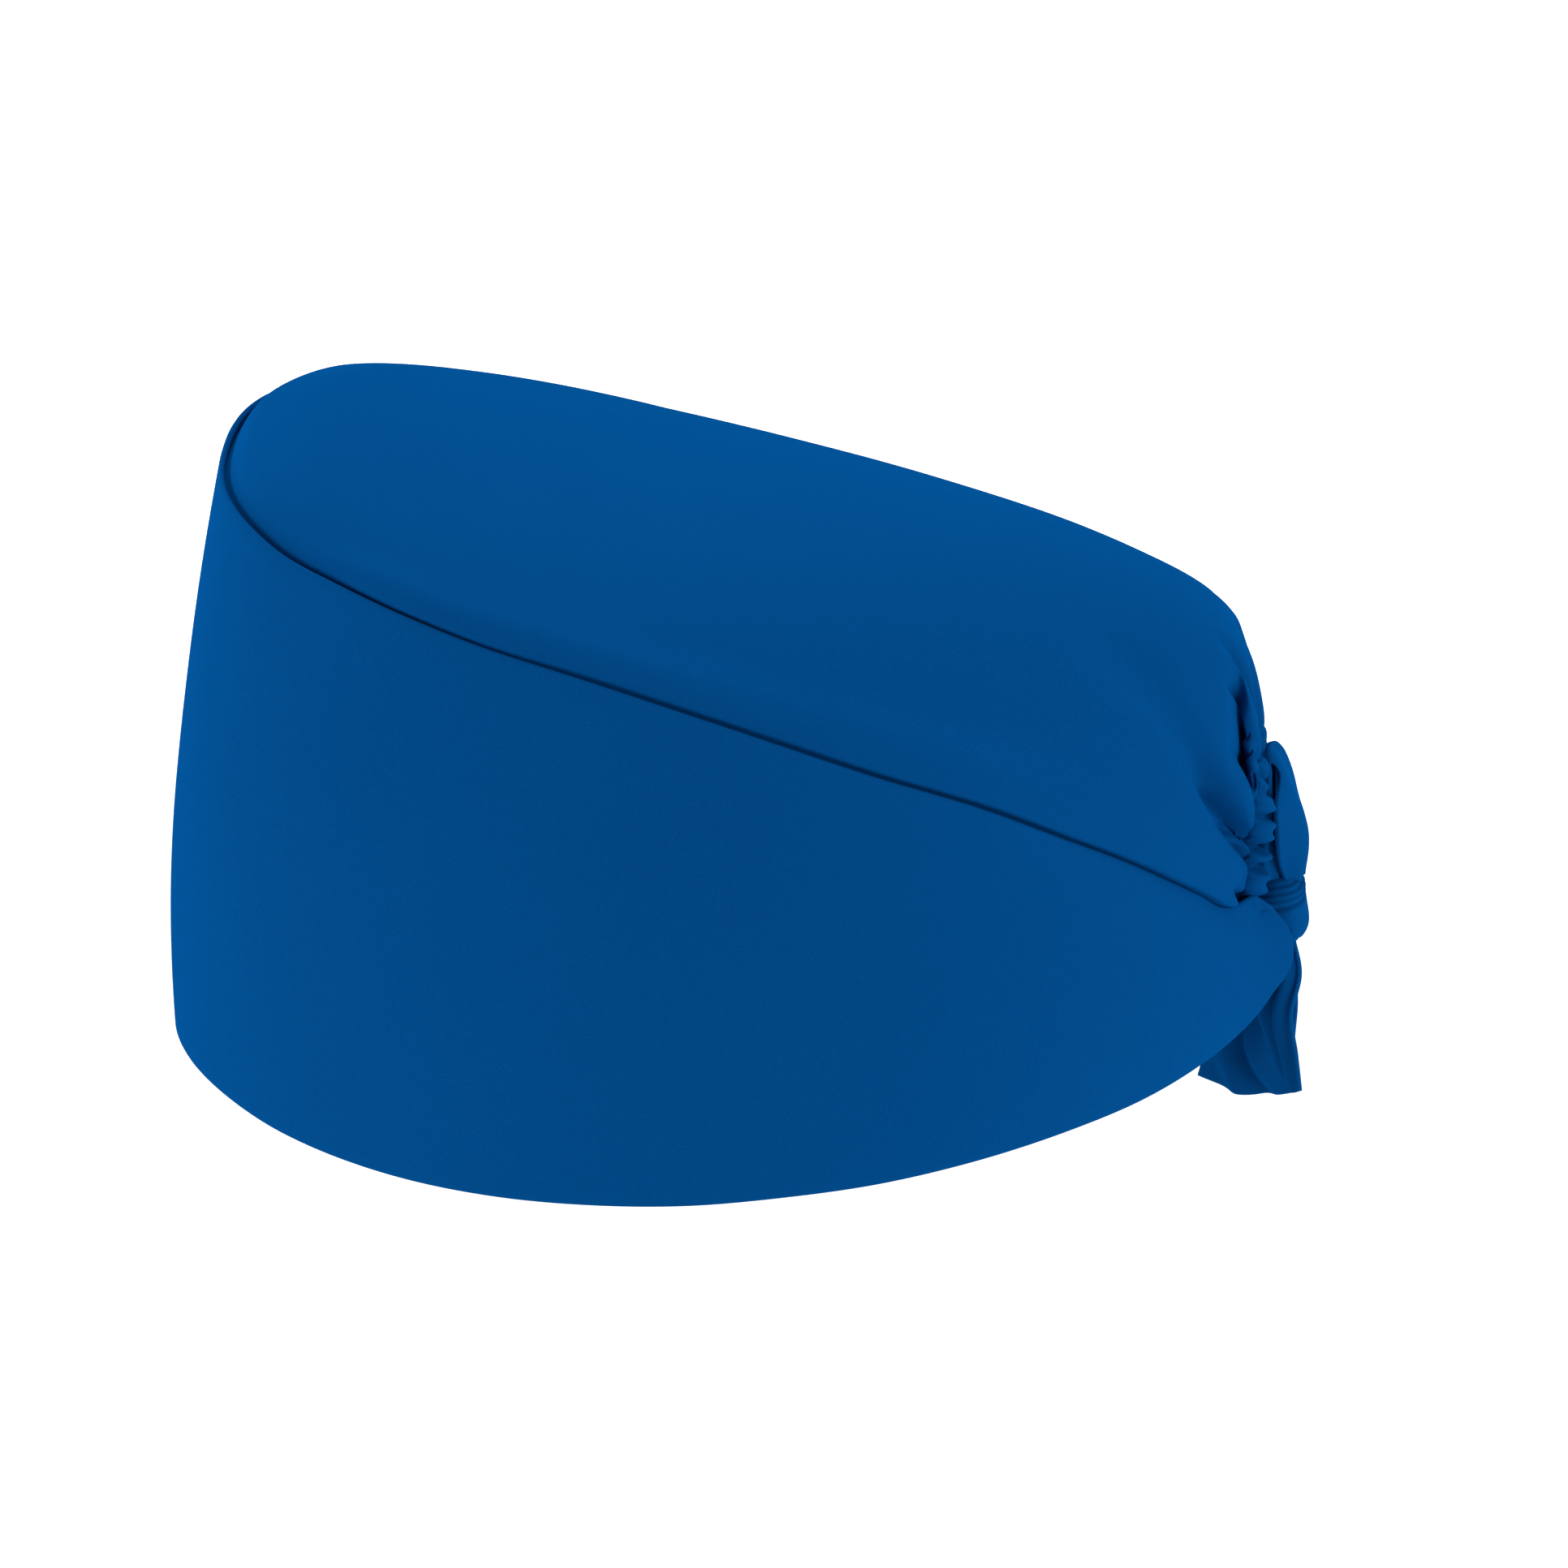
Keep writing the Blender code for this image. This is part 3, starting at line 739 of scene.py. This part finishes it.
class Shade:
    """Wraps a socket, so that shader maths reads as expressions."""
    def __init__(self, tree, socket):
        self.tree, self.socket = tree, socket

    def node(self, kind, settings=None, inputs=None, output=0):
        """Adds any node: its settings first, then its sockets."""
        made = self.tree.nodes.new(kind)
        for name, value in (settings or {}).items():
            setattr(made, name, value)
        for name, value in (inputs or {}).items():
            self.feed(made.inputs[name], value)
        return Shade(self.tree, made.outputs[output])

    def feed(self, socket, value):
        """Links a socket, or sets it where the value is a constant."""
        if isinstance(value, Shade):
            self.tree.links.new(value.socket, socket)
        else:
            socket.default_value = value

    def maths(self, operation, first, second=0.0):
        """Adds a Math node."""
        return self.node("ShaderNodeMath", {"operation": operation},
                         {0: first, 1: second})

    def noise(self, scale, detail, stretch=(1, 1, 1)):
        """Soft noise on these coordinates."""
        moved = self.node("ShaderNodeMapping", {}, {
            "Vector": self, "Scale": stretch})
        return self.node("ShaderNodeTexNoise", {}, {
            "Vector": moved, "Scale": scale, "Detail": detail,
            "Roughness": 0.55})

    def blend(self, first, second, share):
        """Mixes two colours."""
        mixed = self.node("ShaderNodeMix", {"data_type": "RGBA"},
                          {"Factor": share}, "Result")
        mix = mixed.socket.node
        tints = [socket for socket in mix.inputs if socket.type == "RGBA"]
        for socket, tint in zip(tints, (first, second)):
            socket.default_value = (*tint, 1)
        out = [socket for socket in mix.outputs if socket.type == "RGBA"]
        return Shade(self.tree, out[0])

    def __add__(self, other):
        return self.maths("ADD", self, other)

    def __radd__(self, other):
        return self.maths("ADD", other, self)

    def __sub__(self, other):
        return self.maths("SUBTRACT", self, other)

    def __rsub__(self, other):
        return self.maths("SUBTRACT", other, self)

    def __mul__(self, other):
        return self.maths("MULTIPLY", self, other)

    def __rmul__(self, other):
        return self.maths("MULTIPLY", other, self)

    def sine(self):
        return self.maths("SINE", self)


def cloth_material(name, thread, colours):
    """Fine plain-woven cloth: threads from the UV map, in metres."""
    made = bpy.data.materials.new(name)
    made.use_nodes = True
    tree = made.node_tree
    shader = tree.nodes["Principled BSDF"]
    start = Shade(tree, None)
    uv = start.node("ShaderNodeTexCoord", output="UV")
    place = start.node("ShaderNodeTexCoord", output="Object")
    split = uv.node("ShaderNodeSeparateXYZ", inputs={0: uv})
    weft = Shade(tree, split.socket.node.outputs["X"])
    warp = Shade(tree, split.socket.node.outputs["Y"])
    turn = 2 * math.pi / thread
    weave = (weft * turn).sine() * (warp * turn).sine()
    cloudy = place.noise(CLOUDS, 2)
    mottle = place.noise(MOTTLE, 3)
    # Fibres drawn out along the threads, both ways of the cloth.
    across = uv.noise(FIBRES, 2, (1, 0.06, 1))
    upward = uv.noise(FIBRES, 2, (0.06, 1, 1))
    threads = across * 0.5 + upward * 0.5
    tone = cloudy * 0.55 + mottle * 0.25 + threads * 0.35 - 0.08
    dye = start.blend(colours.cloth_deep, colours.cloth, tone)
    start.feed(shader.inputs["Base Color"], dye)
    start.feed(shader.inputs["Roughness"], threads * 0.12 + 0.80)
    height = weave * 0.35 + threads * 0.8 + mottle * 0.5
    bump = start.node("ShaderNodeBump", {}, {
        "Strength": 0.35, "Distance": 0.00012, "Height": height})
    start.feed(shader.inputs["Normal"], bump)
    shader.inputs["Specular IOR Level"].default_value = 0
    shader.inputs["Sheen Weight"].default_value = 0.15
    shader.inputs["Sheen Roughness"].default_value = 0.5
    shader.inputs["Sheen Tint"].default_value = (*colours.sheen, 1)
    return made


def floor_material(name, tint):
    """Plain pale floor."""
    made = bpy.data.materials.new(name)
    made.use_nodes = True
    shader = made.node_tree.nodes["Principled BSDF"]
    shader.inputs["Base Color"].default_value = (*tint, 1)
    shader.inputs["Roughness"].default_value = 0.9
    shader.inputs["Specular IOR Level"].default_value = 0.1
    # The floor grows brighter outwards, so that its end isn't seen.
    start = Shade(made.node_tree, None)
    place = start.node("ShaderNodeTexCoord", output="Object")
    reach = start.node("ShaderNodeVectorMath", {"operation": "LENGTH"},
                       {0: place}, "Value")
    share = (reach - GLOW_START) * (1 / (GLOW_END - GLOW_START))
    glow = start.blend((0, 0, 0), (1, 1, 1), share)
    start.feed(shader.inputs["Emission Color"], glow)
    shader.inputs["Emission Strength"].default_value = FLOOR_GLOW
    return made


def deselect():
    """Clears the selection before a primitive is added."""
    for thing in bpy.context.selected_objects:
        thing.select_set(False)


def arc_lengths(points, axis):
    """Distance run along one direction of a grid of points."""
    steps = np.linalg.norm(np.diff(points, axis=axis), axis=-1)
    run = np.cumsum(steps, axis=axis)
    first = np.zeros_like(np.take(run, [0], axis=axis))
    return np.concatenate([first, run], axis=axis)


def read_points(mesh):
    """The mesh's vertices as rows of three."""
    flat = np.empty(len(mesh.vertices) * 3)
    mesh.vertices.foreach_get("co", flat)
    return flat.reshape(-1, 3)


def lay_threads(mesh, points, order, shape):
    """UV map in metres, measured along the cloth both ways."""
    grid = points[order].reshape(*shape, 3)
    run = np.empty((len(points), 2))
    middle = arc_lengths(grid, 1)
    run[order, 0] = (middle - middle.mean(axis=1, keepdims=True)).ravel()
    run[order, 1] = arc_lengths(grid, 0).ravel()
    loops = np.empty(len(mesh.loops), int)
    mesh.loops.foreach_get("vertex_index", loops)
    mesh.uv_layers[0].data.foreach_set("uv", run[loops].ravel())


def close_seam():
    """Joins the edges of a rolled sheet and fills its two ends."""
    bpy.ops.object.mode_set(mode="EDIT")
    bpy.ops.mesh.select_all(action="SELECT")
    bpy.ops.mesh.remove_doubles(threshold=1e-6)
    bpy.ops.mesh.select_all(action="DESELECT")
    bpy.ops.mesh.select_non_manifold()
    bpy.ops.mesh.fill_holes(sides=0)
    bpy.ops.mesh.select_all(action="SELECT")
    bpy.ops.mesh.normals_make_consistent(inside=False)
    bpy.ops.object.mode_set(mode="OBJECT")


def grid_piece(name, columns, rows, face, closed=False):
    """A grid primitive whose vertices are moved to a cloth's shape."""
    deselect()
    bpy.ops.mesh.primitive_grid_add(x_subdivisions=columns,
                                    y_subdivisions=rows, size=1)
    piece = bpy.context.active_object
    piece.name = piece.data.name = name
    mesh = piece.data
    flat = read_points(mesh) + 0.5
    points = face(flat[:, 0], flat[:, 1])
    mesh.vertices.foreach_set("co", points.ravel())
    order = np.lexsort((np.round(flat[:, 0] * columns),
                        np.round(flat[:, 1] * rows)))
    lay_threads(mesh, points, order, (rows + 1, columns + 1))
    if closed:
        close_seam()
    mesh.update()
    bpy.ops.object.shade_smooth()
    return piece


def knot_piece(cap):
    """A sphere primitive whose vertices are moved to the wrapped knot."""
    deselect()
    bpy.ops.mesh.primitive_uv_sphere_add(segments=96, ring_count=64, radius=1)
    knot = bpy.context.active_object
    knot.name = knot.data.name = "knot_wrap"
    mesh = knot.data
    points = knot_face(cap, read_points(mesh))
    mesh.vertices.foreach_set("co", points.ravel())
    # Its UV map becomes metres too: once round it, and from end to end.
    uv = np.empty(len(mesh.loops) * 2)
    mesh.uv_layers[0].data.foreach_get("uv", uv)
    uv = uv.reshape(-1, 2) * [0.045, 0.020]
    mesh.uv_layers[0].data.foreach_set("uv", uv.ravel())
    mesh.update()
    bpy.ops.object.shade_smooth()
    return knot


def face_out(piece):
    """Turns an open cloth's faces away from the inside of the cap."""
    mesh = piece.data
    middle = Vector(INSIDE)
    score = sum((face.center - middle).dot(face.normal) * face.area
                for face in mesh.polygons)
    if score < 0:
        mesh.flip_normals()


def thicken(piece, wall, offset=-1):
    """Gives a cloth its wall: inwards, or both ways with offset 0."""
    deselect()
    piece.select_set(True)
    bpy.context.view_layer.objects.active = piece
    solidify = piece.modifiers.new("wall", "SOLIDIFY")
    solidify.thickness = wall
    solidify.offset = offset
    bpy.ops.object.modifier_apply(modifier="wall")


def dress(piece, node, colours, cap):
    """Gives a piece its cloth and puts it in its node's place."""
    piece.data.materials.clear()
    piece.data.materials.append(
        cloth_material(piece.name + "_weave", cap.thread, colours))
    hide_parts(node)
    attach(piece, "root")


class CapBand(bpy.types.Operator):
    """Side band: one doubled cloth from tie to tie"""
    bl_idname = "scrub_cap.band"
    bl_label = "Band"

    def execute(self, context):
        cap, colours = Cap(), context.scene.scrub_cap_colours
        band = grid_piece("band_cloth", 360, 100, partial(band_skin, cap),
                          closed=True)
        dress(band, "band", colours, cap)
        return {"FINISHED"}


class CapCrown(bpy.types.Operator):
    """Crown: soft top cloth, gathered at the back"""
    bl_idname = "scrub_cap.crown"
    bl_label = "Crown"

    def execute(self, context):
        cap, colours = Cap(), context.scene.scrub_cap_colours
        crown = grid_piece("crown_cloth", 280, 168, partial(crown_sheet, cap))
        face_out(crown)
        thicken(crown, cap.crown_wall)
        dress(crown, "crown", colours, cap)
        return {"FINISHED"}


class CapCasing(bpy.types.Operator):
    """Casing: ruffled cloth over the elastic at the back opening"""
    bl_idname = "scrub_cap.casing"
    bl_label = "Gathered casing"

    def execute(self, context):
        cap, colours = Cap(), context.scene.scrub_cap_colours
        casing = grid_piece("casing_cloth", 340, 24,
                            partial(casing_face, cap), closed=True)
        dress(casing, "gathered_casing", colours, cap)
        return {"FINISHED"}


class CapBow(bpy.types.Operator):
    """Bow: knot, loop and two free ends"""
    bl_idname = "scrub_cap.bow"
    bl_label = "Bow"

    def execute(self, context):
        cap, colours = Cap(), context.scene.scrub_cap_colours
        knot = knot_piece(cap)
        dress(knot, "knot", colours, cap)
        tie_loop = grid_piece("loop_cloth", 48, 120, partial(loop_face, cap))
        thicken(tie_loop, cap.tie_wall, 0)
        dress(tie_loop, "tie_loop", colours, cap)
        for name, node, rows, flat in (
                ("left_tail_cloth", "left_tail", LEFT_TAIL, (0.0135, 0.030)),
                ("right_tail_cloth", "right_tail", RIGHT_TAIL,
                 (0.022, 0.031))):
            end = grid_piece(name, 60, 80, partial(tail_face, cap, rows))
            thicken(end, cap.tie_wall, 0)
            dress(end, node, colours, cap)
        return {"FINISHED"}


def lay_floor(tint):
    """Floor below the cap, which stays out of the part."""
    deselect()
    bpy.ops.mesh.primitive_plane_add(size=FLOOR_SIZE, location=(0, 0, 0))
    floor = bpy.context.active_object
    floor.name = floor.data.name = "studio_floor"
    for vert in floor.data.vertices:
        vert.co.z = FLOOR_LEVEL
    floor.data.materials.append(floor_material("studio_floor", tint))


def light_studio(scene):
    """White surroundings, brighter to the camera, and the soft lamps."""
    world = bpy.data.worlds.new("studio")
    world.use_nodes = True
    tree = world.node_tree
    sky = tree.nodes["Background"]
    sky.inputs["Color"].default_value = (1, 1, 1, 1)
    start = Shade(tree, None)
    seen = start.node("ShaderNodeLightPath")
    start.feed(sky.inputs["Strength"], seen * SKY_SEEN + SKY_LIGHT)
    scene.world = world
    for lamp in LAMPS:
        light = bpy.data.lights.new(lamp.name, "AREA")
        light.shape, light.size = "SQUARE", LAMP_SIZE
        light.energy = lamp.power
        stand = bpy.data.objects.new(lamp.name, light)
        scene.collection.objects.link(stand)
        stand.location = lamp.place
        aim = LAMP_TARGET - Vector(lamp.place)
        stand.rotation_euler = aim.to_track_quat("-Z", "Y").to_euler()


def place_camera(scene):
    """Camera at the photograph's angle, looking down a little."""
    camera = bpy.data.cameras.new("photo_camera")
    camera.lens, camera.sensor_width = CAMERA_LENS, CAMERA_SENSOR
    eye = bpy.data.objects.new("photo_camera", camera)
    scene.collection.objects.link(eye)
    level = math.cos(CAMERA_LIFT)
    aim = Vector((math.cos(CAMERA_TURN) * level,
                  math.sin(CAMERA_TURN) * level, math.sin(CAMERA_LIFT)))
    eye.location = CAMERA_TARGET + aim * CAMERA_DISTANCE
    eye.rotation_euler = (-aim).to_track_quat("-Z", "Y").to_euler()
    scene.camera = eye


class CapStage(bpy.types.Operator):
    """Studio: pale floor, soft lights and the camera"""
    bl_idname = "scrub_cap.stage"
    bl_label = "Stage"

    def execute(self, context):
        scene = context.scene
        lay_floor(scene.scrub_cap_colours.floor)
        light_studio(scene)
        place_camera(scene)
        scene.view_settings.view_transform = "Standard"
        return {"FINISHED"}


class CapPanel(bpy.types.Panel):
    """Lists the cap's pieces, sizes and colours."""
    bl_idname = "VIEW3D_PT_scrub_cap"
    bl_label = "Scrub Cap"
    bl_space_type = "VIEW_3D"
    bl_region_type = "UI"
    bl_category = "Scrub Cap"

    def draw(self, context):
        for group in (context.scene.scrub_cap_sizes,
                      context.scene.scrub_cap_colours):
            box = self.layout.box()
            for name in type(group).__annotations__:
                box.prop(group, name)
        for made in OPERATORS:
            self.layout.operator(made.bl_idname)


OPERATORS = (CapBand, CapCrown, CapCasing, CapBow, CapStage)
CLASSES = (CapSizes, CapColours, *OPERATORS, CapPanel)


def register():
    for made in CLASSES:
        bpy.utils.register_class(made)
    bpy.types.Scene.scrub_cap_sizes = bpy.props.PointerProperty(
        type=CapSizes)
    bpy.types.Scene.scrub_cap_colours = bpy.props.PointerProperty(
        type=CapColours)


def unregister():
    del bpy.types.Scene.scrub_cap_colours
    del bpy.types.Scene.scrub_cap_sizes
    for made in reversed(CLASSES):
        bpy.utils.unregister_class(made)


def main():
    """Builds the cap and its studio."""
    register()
    bpy.ops.scrub_cap.band()
    bpy.ops.scrub_cap.crown()
    bpy.ops.scrub_cap.casing()
    bpy.ops.scrub_cap.bow()
    bpy.ops.scrub_cap.stage()


if __name__ == "__main__":
    main()
